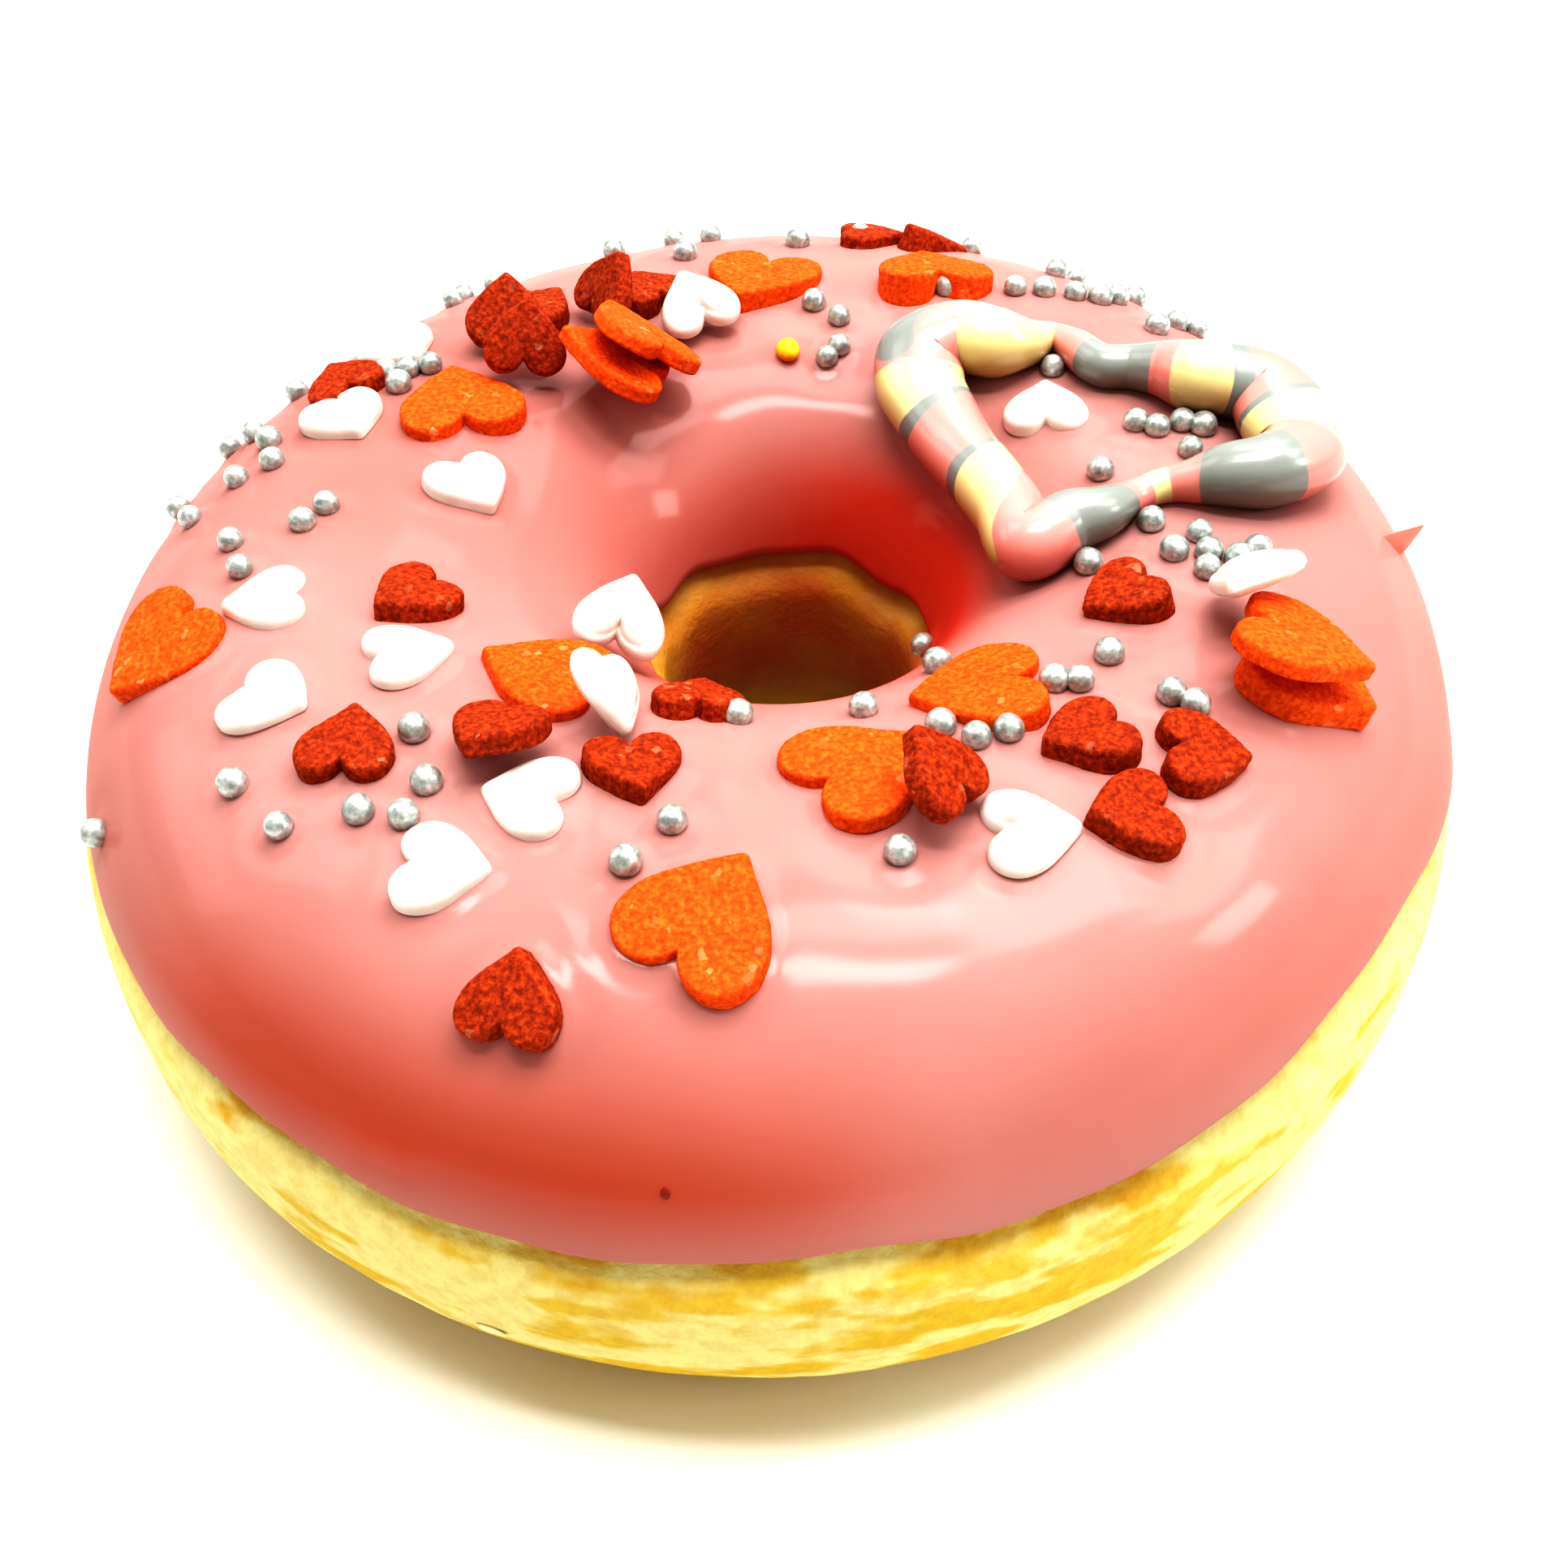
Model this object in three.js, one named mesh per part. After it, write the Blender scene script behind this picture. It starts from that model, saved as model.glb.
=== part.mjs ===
// A ring doughnut with a poured icing shell, a candy heart ring and sugar hearts pressed into the top.
// Millimetres, +Z up, the origin on the table under the middle of the ring.
// A place on the ring is a bearing (degrees anticlockwise from +X) and a turn round its section:
// 0 is the outer waist, 90 the crest and 180 the waist of the hole.
import * as THREE from "three";
import { mergeVertices } from "three/addons/utils/BufferGeometryUtils.js";

// The ring
const ringRadius = 47.0; // at the outer waist
const ringSwell = 0.83; // the outline is slightly oval
const ringSwellBearing = 71;
const holeRadius = 8.6; // at the waist of the hole
const holeShift = 1.75; // the hole sits off the middle
const holeShiftBearing = 20;
const waistHeight = 14.7;
const topRise = 18.5; // waist to crest
const topSquareness = 2.35; // 2 is an ellipse
const underDepth = 15.5; // waist to the underside before it is flattened on the table
const underSquareness = 2.45;
const bearingSteps = 60;

// The icing and the dough below it
const gap = 0.3; // between neighbouring pieces
const icingThickness = 1.4;
const icingLipThickness = 1.0;
const lipTurn = 14.5; // outer lower edge of the icing
const holeLipTurn = 162; // its lower edge in the hole
const doughInset = -0.2; // bare dough bulges a little past the ring outline
const coveredSteps = 8;
const bareSteps = 12;
const icingTopSteps = 13;
const icingUnderSteps = 8;

// The candy heart ring: a rope lying on the icing
const candyHalfHeight = 2.4; // at most
const candyStations = 54;
const candySides = 10;
// Middle line of the rope from its tip, past the right lobe and the cleft to the left lobe and back:
// east, north and half width
const candyLine = [
  [17.1, -3.9, 2.3],
  [19.6, -2.9, 2.05],
  [21.7, -1.9, 1.6],
  [23.9, -0.6, 1.15],
  [26.0, 0.1, 1.15],
  [27.9, 0.1, 1.5],
  [29.8, -0.1, 2.05],
  [32.4, 0.0, 2.4],
  [34.8, 2.4, 2.9],
  [35.2, 6.3, 3.3],
  [34.0, 9.7, 3.0],
  [31.9, 10.6, 2.75],
  [29.7, 11.0, 2.4],
  [27.9, 12.2, 1.9],
  [26.0, 13.3, 1.5],
  [23.9, 14.2, 1.4],
  [22.3, 16.2, 1.3],
  [20.8, 17.4, 1.05],
  [19.0, 16.9, 1.6],
  [16.9, 16.6, 2.4],
  [14.4, 17.4, 2.7],
  [11.7, 16.4, 2.9],
  [11.2, 13.8, 2.9],
  [12.2, 11.1, 2.7],
  [13.6, 8.0, 2.6],
  [15.0, 4.5, 2.4],
  [16.0, 0.6, 2.35],
];

// The sugar hearts: size, thickness of a standing one, outline points and how far the face domes
const orangeHeart = { width: 8.7, length: 8.1, thickness: 1.3, points: 18, dome: 0 };
const redHeart = { width: 5.7, length: 5.3, thickness: 1.6, points: 16, dome: 0 };
const whiteHeart = { width: 5.9, length: 5.5, thickness: 1.6, points: 14, dome: 0.55 };
// Each place is bearing, turn, spin of the tip, lean, bearing of the lean, height of the face's middle.
// Spin and the lean's bearing start down the outer slope. A negative height marks a heart that stands
// clear of the icing on its neighbours.
const orangePlaces = [
  [193, 56.9, 29, 8, 143, 0.95],
  [146.2, 93.8, -43, 3, -51, 0.95],
  [122, 110.7, 43, 30, -72, -2.4],
  [115, 109.4, 6, 42, -66, -4.95],
  [89.4, 90.1, 159, 9, -10, 1.05],
  [65.2, 83.4, 31, 13, 10, 1.1],
  [226.7, 108.9, -68, 0, 0, 0.95],
  [264.3, 75.1, 151, 5, -58, 0.95],
  [283, 97.4, 110, 0, 0, 0.95],
  [305.6, 107.4, -124, 0, 0, 0.95],
  [331.8, 72, 0, 18, 104, -3.48],
  [333, 67.2, -8, 9, 104, 1],
];
const redPlaces = [
  [149.2, 71, -32, 5, 129, 1.25],
  [130.2, 89.5, -45, 40, 134, -2.6],
  [121.9, 85, -66, 5, -28, 1.25],
  [133.7, 98.2, -44, 50, 142, -3.65],
  [115.4, 93.2, -84, 55, 93, -3],
  [105.9, 89.7, 15, 8, -43, 1.3],
  [75.4, 66.8, -80, 2, -167, 1],
  [68, 63.5, -78, 17, -45, 0.95],
  [199.1, 98.2, 24, 7, -129, 1.25],
  [220.9, 81.2, -138, 6, 108, 1.25],
  [234.7, 91.5, 6, 20, -134, -1.9],
  [252.9, 96.4, 30, 8, 139, 1.25],
  [256, 121, -168, 0, 0, 1.25],
  [289.8, 88.9, -150, 38, 56, -3.2],
  [308.8, 89.2, -110, 8, 141, 1.25],
  [316.4, 74.8, 40, 5, 90, 1.25],
  [305.3, 74.8, -114, 8, 102, 1.25],
  [335.2, 100.4, -132, 8, -156, 1.25],
  [250.1, 57.5, -177, 7, -72, 1.3],
];
const whitePlaces = [
  [140, 73.5, 166, 0, 0, 1.3],
  [156.8, 80.5, 143, 0, 0, 1.4],
  [166.8, 107.4, 140, 2, -78, 1.5],
  [100.4, 99.6, 13, 16, 178, -2.7],
  [192.6, 78.6, -4, 6, -142, 1.15],
  [211.2, 94.6, 166, 4, -137, 1.15],
  [208.5, 75.6, 124, 6, -92, 1.15],
  [225.4, 127, -138, 56, 36, -2.67],
  [247.1, 105.6, 64, 52, 107, -2.7],
  [241.8, 88.3, -79, 6, -60, 1.15],
  [239.5, 73.9, 111, 6, -173, 1.15],
  [296.2, 80.1, 67, 5, -159, 1.15],
  [30.2, 104.3, 53, 8, 6, 1.05],
  [337.5, 84.8, -102, 42, 145, -4.02],
];

const doughMaterial = new THREE.MeshStandardMaterial({ color: "#e8c456", roughness: 0.85, metalness: 0 });
const icingMaterial = new THREE.MeshStandardMaterial({ color: "#f0867a", roughness: 0.25, metalness: 0 });
const candyMaterial = new THREE.MeshStandardMaterial({ color: "#fcc0b6", roughness: 0.35, metalness: 0 });
const orangeMaterial = new THREE.MeshStandardMaterial({ color: "#f6701c", roughness: 0.8, metalness: 0 });
const redMaterial = new THREE.MeshStandardMaterial({ color: "#d63c14", roughness: 0.8, metalness: 0 });
const whiteMaterial = new THREE.MeshStandardMaterial({ color: "#fbf8f2", roughness: 0.45, metalness: 0 });

const rad = THREE.MathUtils.degToRad;
const wave = (bearing, cycles, peak) => Math.cos(cycles * (bearing - rad(peak)));

function ringRadii(bearing) {
  const outer = ringRadius + ringSwell * wave(bearing, 2, ringSwellBearing);
  const inner = holeRadius + holeShift * wave(bearing, 1, holeShiftBearing);
  return { middle: (outer + inner) / 2, half: (outer - inner) / 2 };
}

// The uneven lower edges of the icing, as turns round the section
function icingLip(bearing) {
  const slow = 1.2 * wave(bearing, 2, -19) + 1.5 * wave(bearing, 3, -38);
  return lipTurn + slow + 0.9 * wave(bearing, 5, -32) + 1.3 * wave(bearing, 8, 6);
}
function icingHoleLip(bearing) {
  return holeLipTurn + 1.4 * wave(bearing, 2, 60) + 1.2 * wave(bearing, 3, 15);
}

// A point of the ring's section, moved inwards by inset along the section's normal
function ringPoint(bearing, turn, inset) {
  const { middle, half } = ringRadii(bearing);
  const cos = Math.cos(rad(turn));
  const sin = Math.sin(rad(turn));
  const squareness = sin > 0 ? topSquareness : underSquareness;
  const rise = sin > 0 ? topRise : underDepth;
  const across = Math.sign(cos) * Math.abs(cos) ** (2 / squareness);
  const up = Math.sign(sin) * Math.abs(sin) ** (2 / squareness);
  const normal = new THREE.Vector2(
    (Math.sign(cos) * Math.abs(across) ** (squareness - 1)) / half,
    (Math.sign(sin) * Math.abs(up) ** (squareness - 1)) / rise,
  ).normalize();
  const reach = middle + half * across - inset * normal.x;
  const height = Math.max(0, waistHeight + rise * up - inset * normal.y);
  return new THREE.Vector3(reach * Math.cos(bearing), reach * Math.sin(bearing), height);
}

// Below 1 inside the ring's outline grown by grow
function ringField(point, grow) {
  const { middle, half } = ringRadii(Math.atan2(point.y, point.x));
  const across = Math.abs(Math.hypot(point.x, point.y) - middle) / (half + grow);
  const up = Math.abs(point.z - waistHeight) / (topRise + grow);
  return across ** topSquareness + up ** topSquareness;
}

// Bends a torus so that each vertex goes where place puts it. place gets the step round the ring
// and the step round the section.
function bentTorus(ringSteps, sectionSteps, place) {
  const geometry = new THREE.TorusGeometry(2, 1, sectionSteps, ringSteps);
  const position = geometry.attributes.position;
  const uv = geometry.attributes.uv;
  for (let index = 0; index < position.count; index += 1) {
    const ringStep = Math.round(uv.getX(index) * ringSteps) % ringSteps;
    const sectionStep = Math.round(uv.getY(index) * sectionSteps) % sectionSteps;
    const point = place(ringStep, sectionStep);
    position.setXYZ(index, point.x, point.y, point.z);
  }
  geometry.deleteAttribute("normal");
  geometry.deleteAttribute("uv");
  const merged = mergeVertices(geometry, 1e-5);
  merged.computeVertexNormals();
  return merged;
}

function icingDepth(turn, lip, holeLip) {
  const edge = Math.min(turn - lip, holeLip - turn);
  const full = THREE.MathUtils.smoothstep(edge, 0, 25);
  return icingLipThickness + (icingThickness - icingLipThickness) * full;
}

function doughPoint(ringStep, sectionStep) {
  const bearing = (ringStep / bearingSteps) * 2 * Math.PI;
  const lip = icingLip(bearing);
  const holeLip = icingHoleLip(bearing);
  if (sectionStep <= coveredSteps) {
    const turn = lip + ((holeLip - lip) * sectionStep) / coveredSteps;
    return ringPoint(bearing, turn, icingDepth(turn, lip, holeLip) + gap);
  }
  const start = holeLip + 8;
  const end = 360 + lip - 8;
  const step = (sectionStep - coveredSteps - 1) / bareSteps;
  return ringPoint(bearing, start + (end - start) * step, doughInset);
}

function icingPoint(ringStep, sectionStep) {
  const bearing = (ringStep / bearingSteps) * 2 * Math.PI;
  const lip = icingLip(bearing);
  const holeLip = icingHoleLip(bearing);
  if (sectionStep <= icingTopSteps) {
    const turn = lip + 2 + ((holeLip - lip - 4) * sectionStep) / icingTopSteps;
    return ringPoint(bearing, turn, 0);
  }
  if (sectionStep === icingTopSteps + 1) {
    return ringPoint(bearing, holeLip, icingLipThickness / 2);
  }
  const underStep = sectionStep - icingTopSteps - 2;
  if (underStep > icingUnderSteps) {
    return ringPoint(bearing, lip, icingLipThickness / 2);
  }
  const turn = holeLip - 1 - ((holeLip - lip - 2) * underStep) / icingUnderSteps;
  return ringPoint(bearing, turn, icingDepth(turn, lip, holeLip));
}

// Height of the icing's top at a place seen from above, with the gap on top
function icingHeight(x, y) {
  const { middle, half } = ringRadii(Math.atan2(y, x));
  const across = Math.min(1, Math.abs(Math.hypot(x, y) - middle) / (half + gap));
  return waistHeight + (topRise + gap) * (1 - across ** topSquareness) ** (1 / topSquareness);
}

// The candy rope: an oval section swept round a heart-shaped closed line that follows the icing
function candyGeometry() {
  const knots = candyLine.map(([east, north, width]) => new THREE.Vector3(east, north, width));
  const stations = new THREE.CatmullRomCurve3(knots, true, "centripetal").getSpacedPoints(candyStations);
  return bentTorus(candyStations, candySides, (station, side) => {
    const here = stations[station];
    const before = stations[(station + candyStations - 1) % candyStations];
    const after = stations[(station + 1) % candyStations];
    const ahead = new THREE.Vector2(after.x - before.x, after.y - before.y).normalize();
    const halfHeight = Math.min(here.z, candyHalfHeight);
    let middle = 0;
    for (let share = -1; share <= 1; share += 0.125) {
      const out = here.z * share;
      const surface = icingHeight(here.x + ahead.y * out, here.y - ahead.x * out);
      middle = Math.max(middle, surface + halfHeight * Math.sqrt(1 - share * share));
    }
    const angle = (side / candySides) * 2 * Math.PI;
    const out = here.z * Math.cos(angle);
    return new THREE.Vector3(
      here.x + ahead.y * out,
      here.y - ahead.x * out,
      middle + halfHeight * Math.sin(angle),
    );
  });
}

// Heart outline with the tip towards +X and the cleft towards -X
function heartOutline({ width, length, points }) {
  const shape = new THREE.Shape();
  const tip = length / 2;
  shape.moveTo(tip, 0);
  shape.bezierCurveTo(0.3 * length, 0.2 * width, 0.08 * length, 0.5 * width, -0.2 * length, 0.5 * width);
  shape.bezierCurveTo(-0.4 * length, 0.5 * width, -tip, 0.38 * width, -tip, 0.26 * width);
  shape.bezierCurveTo(-tip, 0.13 * width, -0.42 * length, 0.03 * width, -0.29 * length, 0);
  shape.bezierCurveTo(-0.42 * length, -0.03 * width, -tip, -0.13 * width, -tip, -0.26 * width);
  shape.bezierCurveTo(-tip, -0.38 * width, -0.4 * length, -0.5 * width, -0.2 * length, -0.5 * width);
  shape.bezierCurveTo(0.08 * length, -0.5 * width, 0.3 * length, -0.2 * width, tip, 0);
  return shape.getSpacedPoints(points).slice(0, points);
}

// How far a point of a heart's face is above the icing, straight down through the heart
function depthToIcing(mesh, x, y, z) {
  let near = 0;
  let far = 8;
  for (let step = 0; step < 24; step += 1) {
    const depth = (near + far) / 2;
    const point = mesh.localToWorld(new THREE.Vector3(x, y, z - depth));
    if (ringField(point, gap) > 1) {
      near = depth;
    } else {
      far = depth;
    }
  }
  return near;
}

// A closed heart of stacked rings: a domed or flat face, a wall and an underside at the given depths
function heartGeometry(kind, underDepthAt) {
  const outline = heartOutline(kind);
  const rings = [];
  rings.push(outline.map((point) => [point.x, point.y, -underDepthAt(point.x, point.y)]));
  rings.push(outline.map((point) => [point.x, point.y, -kind.dome]));
  if (kind.dome > 0) {
    const inner = outline.map((point) => [point.x * 0.72, point.y * 0.72, -kind.dome * 0.2]);
    rings.push(inner);
  }
  const vertices = rings.flat();
  const bottomMiddle = vertices.length;
  vertices.push([0, 0, -underDepthAt(0, 0)]);
  const topMiddle = vertices.length;
  vertices.push([0, 0, 0]);
  const faces = [];
  const count = outline.length;
  for (let index = 0; index < count; index += 1) {
    const next = (index + 1) % count;
    faces.push(bottomMiddle, next, index);
    for (let ring = 0; ring + 1 < rings.length; ring += 1) {
      const low = ring * count;
      const high = low + count;
      faces.push(low + index, low + next, high + next);
      faces.push(low + index, high + next, high + index);
    }
    const last = (rings.length - 1) * count;
    faces.push(topMiddle, last + index, last + next);
  }
  const geometry = new THREE.BufferGeometry();
  geometry.setAttribute("position", new THREE.Float32BufferAttribute(vertices.flat(), 3));
  geometry.setIndex(faces);
  geometry.computeVertexNormals();
  return geometry;
}

// Turns a mesh so that +X is the heart's tip and +Z its face, at its place on the ring
function seatHeart(mesh, [bearingDegrees, turn, spin, lean, leanBearing, height]) {
  const bearing = rad(bearingDegrees);
  const middle = ringPoint(bearing, turn, 0);
  const down = ringPoint(bearing, turn - 0.1, 0).sub(ringPoint(bearing, turn + 0.1, 0)).normalize();
  const around = ringPoint(bearing + 0.002, turn, 0).sub(ringPoint(bearing - 0.002, turn, 0)).normalize();
  const normal = new THREE.Vector3().crossVectors(around, down).negate().normalize();
  const side = new THREE.Vector3().crossVectors(normal, down);
  const direction = (angle) =>
    down.clone().multiplyScalar(Math.cos(rad(angle))).addScaledVector(side, Math.sin(rad(angle)));
  const tilt = new THREE.Vector3().crossVectors(normal, direction(leanBearing)).normalize();
  const tip = direction(spin).applyAxisAngle(tilt, rad(lean));
  const face = normal.clone().applyAxisAngle(tilt, rad(lean));
  const across = new THREE.Vector3().crossVectors(face, tip);
  mesh.quaternion.setFromRotationMatrix(new THREE.Matrix4().makeBasis(tip, across, face));
  mesh.position.copy(middle).addScaledVector(normal, Math.abs(height));
  mesh.updateMatrixWorld(true);
  return normal;
}

// A standing heart is raised off the icing until its whole underside is clear
function clearIcing(mesh, kind, normal) {
  const outline = heartOutline(kind);
  const touches = () =>
    outline.some((point) => {
      const corner = mesh.localToWorld(new THREE.Vector3(point.x, point.y, -kind.thickness));
      return ringField(corner, gap) < 1;
    });
  while (touches()) {
    mesh.position.addScaledVector(normal, 0.05);
    mesh.updateMatrixWorld(true);
  }
}

function sugarHearts(name, kind, places, material) {
  const group = new THREE.Group();
  places.forEach((place, index) => {
    const mesh = new THREE.Mesh(new THREE.BufferGeometry(), material);
    mesh.name = `${name}_${String(index + 1).padStart(2, "0")}`;
    const normal = seatHeart(mesh, place);
    const standing = place[5] < 0;
    if (standing) {
      clearIcing(mesh, kind, normal);
      mesh.geometry = heartGeometry(kind, () => kind.thickness);
    } else {
      mesh.geometry = heartGeometry(kind, (x, y) => depthToIcing(mesh, x, y, 0));
    }
    group.add(mesh);
  });
  return group;
}

const doughnut = new THREE.Group();
const sectionOfDough = coveredSteps + bareSteps + 2;
const dough = new THREE.Mesh(bentTorus(bearingSteps, sectionOfDough, doughPoint), doughMaterial);
dough.name = "dough";
doughnut.add(dough);

const sectionOfIcing = icingTopSteps + icingUnderSteps + 4;
const icing = new THREE.Mesh(bentTorus(bearingSteps, sectionOfIcing, icingPoint), icingMaterial);
icing.name = "icing";
doughnut.add(icing);

const toppings = new THREE.Group();
const candy = new THREE.Mesh(candyGeometry(), candyMaterial);
candy.name = "candy_heart";
toppings.add(candy);
toppings.add(sugarHearts("orange_heart", orangeHeart, orangePlaces, orangeMaterial));
toppings.add(sugarHearts("red_heart", redHeart, redPlaces, redMaterial));
toppings.add(sugarHearts("white_heart", whiteHeart, whitePlaces, whiteMaterial));
doughnut.add(toppings);

export default doughnut;
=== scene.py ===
import math
import random
from functools import partial
import bpy
import bmesh
import numpy as np
from mathutils import Matrix, Vector
from mathutils.bvhtree import BVHTree


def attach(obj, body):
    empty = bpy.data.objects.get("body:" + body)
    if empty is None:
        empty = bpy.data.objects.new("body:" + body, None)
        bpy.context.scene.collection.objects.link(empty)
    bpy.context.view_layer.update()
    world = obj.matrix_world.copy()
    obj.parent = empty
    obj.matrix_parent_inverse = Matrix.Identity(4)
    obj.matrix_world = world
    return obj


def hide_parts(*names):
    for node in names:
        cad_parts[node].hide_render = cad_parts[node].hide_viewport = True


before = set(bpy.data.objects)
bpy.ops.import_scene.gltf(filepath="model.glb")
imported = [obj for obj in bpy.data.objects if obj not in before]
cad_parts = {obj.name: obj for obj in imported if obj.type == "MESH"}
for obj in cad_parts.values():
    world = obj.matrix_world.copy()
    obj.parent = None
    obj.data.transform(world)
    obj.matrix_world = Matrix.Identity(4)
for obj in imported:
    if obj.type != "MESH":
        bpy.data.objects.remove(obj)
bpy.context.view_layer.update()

mm = 0.001
tau = 2 * math.pi
seam = 0.01 * mm  # corners closer than this become one
eased = {"interpolation_type": "SMOOTHSTEP"}  # for a Map Range that starts and ends softly


def linearColour(code):
    # "#rrggbb" as a linear RGBA colour
    parts = [int(code[place:place + 2], 16) / 255 for place in (1, 3, 5)]
    parts = [part / 12.92 if part <= 0.04045 else ((part + 0.055) / 1.055) ** 2.4 for part in parts]
    return (*parts, 1.0)


def feed(node, inputs):
    # Sets a node's inputs. Each is a number, a colour code, a socket, or another node, whose first
    # output in use is taken
    for place, value in inputs.items():
        if isinstance(value, bpy.types.Node):
            value = next(socket for socket in value.outputs if socket.enabled)
        if isinstance(value, bpy.types.NodeSocket):
            node.id_data.links.new(value, node.inputs[place])
        elif isinstance(value, str) and value.startswith("#"):
            node.inputs[place].default_value = linearColour(value)
        else:
            node.inputs[place].default_value = value


signs = {"+": "ADD", "-": "SUBTRACT", "*": "MULTIPLY", "/": "DIVIDE"}


def addNode(tree, kind, *inputs, stops=(), **settings):
    # Adds one node. The kind is its type without the family's name, an operation of the Math node
    # as a sign or in capitals, or one of the Vector Math node after the word vector. Inputs are
    # given in the order of the sockets in use, or by name in one dictionary. The stops are those
    # of a colour ramp
    kind = signs.get(kind, kind)
    if kind.isupper():
        kind, settings["operation"] = "Math", kind
    elif kind.startswith("vector "):
        kind, settings["operation"] = "VectorMath", kind.split()[1]
    families = ["GeometryNode", "ShaderNode", "FunctionNode", "Node"]
    if tree.bl_idname == "ShaderNodeTree":
        families = ["ShaderNode"]
    node = tree.nodes.new(next(family + kind for family in families if hasattr(bpy.types, family + kind)))
    for name, setting in settings.items():
        setattr(node, name, setting)
    if stops:
        points = node.color_ramp.elements
        for place, _ in stops[1:-1]:
            points.new(place)
        for point, (place, code) in zip(points, stops):
            point.position, point.color = place, linearColour(code)
    used = [place for place, socket in enumerate(node.inputs) if socket.enabled]
    feed(node, inputs[0] if inputs and isinstance(inputs[0], dict) else dict(zip(used, inputs)))
    return node


def kindsOf(values):
    # The kind of socket that each number needs
    return {name: "Int" if isinstance(value, int) else "Float" for name, value in values.items()}


def startTree(name, inputs, outputs={"Geometry": "Geometry"}):
    # A geometry tree with named sockets, what adds a node to it, and its inputs
    tree = bpy.data.node_groups.new(name, "GeometryNodeTree")
    for way, sockets in (("INPUT", inputs), ("OUTPUT", outputs)):
        for label, kind in sockets.items():
            tree.interface.new_socket(label, in_out=way, socket_type="NodeSocket" + kind)
    add = partial(addNode, tree)
    return tree, add, add("GroupInput").outputs


def endTree(add, geometry, take):
    # Realize Instances and Set Material close every tree
    smooth = add("SetShadeSmooth", add("RealizeInstances", geometry))
    add("GroupOutput", add("SetMaterial", {"Geometry": smooth, "Material": take["Material"]}))


def unevenness(add, place, size, height, *detail):
    # Soft noise with features of that size, from half the height below to half above
    noise = add("TexNoise", place, add("/", 1.0, size), *detail)
    return add("*", add("-", noise, 0.5), height)


def bell(add, far, reach):
    # 1 at no distance, falling softly to nothing past the reach
    far = add("/", far, reach)
    return add("EXPONENT", add("*", add("*", far, far), -1.0))


def pushed(add, place, way, amount):
    return add("vector ADD", place, add("vector SCALE", way, amount))


def addObject(name, data):
    thing = bpy.data.objects.new(name, data)
    bpy.context.scene.collection.objects.link(thing)
    return thing


def growPiece(name, tree, values, mesh=None):
    # Runs a tree on a mesh and keeps the result as a plain mesh
    piece = addObject(name, mesh or bpy.data.meshes.new(name))
    grower = piece.modifiers.new("Grow", "NODES")
    grower.node_group = tree
    for item in tree.interface.items_tree:
        if item.item_type == "SOCKET" and item.in_out == "INPUT" and item.name in values:
            grower[item.identifier] = values[item.name]
    graph = bpy.context.evaluated_depsgraph_get()
    piece.data = bpy.data.meshes.new_from_object(
        piece.evaluated_get(graph), preserve_all_data_layers=True, depsgraph=graph)
    piece.modifiers.remove(grower)
    piece.data.name = name
    return piece


def keepPiece(piece, nodes):
    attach(piece, "root")
    if nodes:
        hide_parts(*nodes)
    piece.data.calc_loop_triangles()
    print(f"{piece.name}: {len(piece.data.loop_triangles)} triangles")


def meshOf(name, points, faces):
    mesh = bpy.data.meshes.new(name)
    mesh.from_pydata([tuple(point) for point in points], [], faces)
    mesh.update()
    return mesh


def store(mesh, kind, **values):
    # Keeps a value for each corner of a mesh, under each name
    field = "vector" if kind == "FLOAT_VECTOR" else "value"
    for name, each in values.items():
        mesh.attributes.new(name, kind, "POINT").data.foreach_set(field, np.ravel(each))


# Camera: it looks down at the ring from the front
camera = {
    "spot": Vector((0.94, -98.35, 107.18)) * mm,
    "right": Vector((0.9993, -0.0162, -0.0329)),
    "up": Vector((0.0347, 0.709, 0.7044)),
    "back": Vector((0.0119, -0.7051, 0.709)),
    "frame": 1932,  # pixels across the square frame
    "focal": 2324.98,  # focal length in those pixels
    "slide": (27.66, 0.96),  # the lens's shift to the left and down, in those pixels
    "film": 36.0, "nearest": 5 * mm, "farthest": 20,
}


def makeCamera():
    data = bpy.data.cameras.new("camera")
    data.sensor_width = camera["film"]
    data.lens = camera["focal"] * camera["film"] / camera["frame"]
    data.shift_x = camera["slide"][0] / camera["frame"]
    data.shift_y = camera["slide"][1] / camera["frame"]
    data.clip_start, data.clip_end = camera["nearest"], camera["farthest"]
    eye = addObject("camera", data)
    turned = Matrix((camera["right"], camera["up"], camera["back"])).transposed()
    eye.matrix_world = Matrix.Translation(camera["spot"]) @ turned.to_4x4()
    bpy.context.scene.camera = eye


def sightLine(pixel):
    across = (pixel[0] - camera["frame"] / 2 + camera["slide"][0]) / camera["focal"]
    rise = -(pixel[1] - camera["frame"] / 2 - camera["slide"][1]) / camera["focal"]
    return (camera["right"] * across + camera["up"] * rise - camera["back"]).normalized()


def seenAt(point):
    # The pixel a point is seen at
    offset = point - camera["spot"]
    depth = -offset.dot(camera["back"])
    across, rise = (offset.dot(camera[way]) / depth * camera["focal"] for way in ("right", "up"))
    half = camera["frame"] / 2
    return Vector((half + across - camera["slide"][0], half - rise + camera["slide"][1]))


def treeOf(piece):
    # A search tree over a mesh, in millimetres, because the search loses faces much smaller than one
    corners = [vertex.co / mm for vertex in piece.data.vertices]
    return BVHTree.FromPolygons(corners, [tuple(face.vertices) for face in piece.data.polygons])


def meets(search, start, way):
    # Where a line first meets the mesh, and the surface's normal there
    spot, normal, _, _ = search.ray_cast(start / mm, way)
    return (spot * mm, normal) if spot else (None, None)


# How pixels near the first are tried: farthest and step in pixels, directions, and rounds
aiming = {"farthest": 160, "step": 4, "ways": 16, "rounds": 8}


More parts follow.
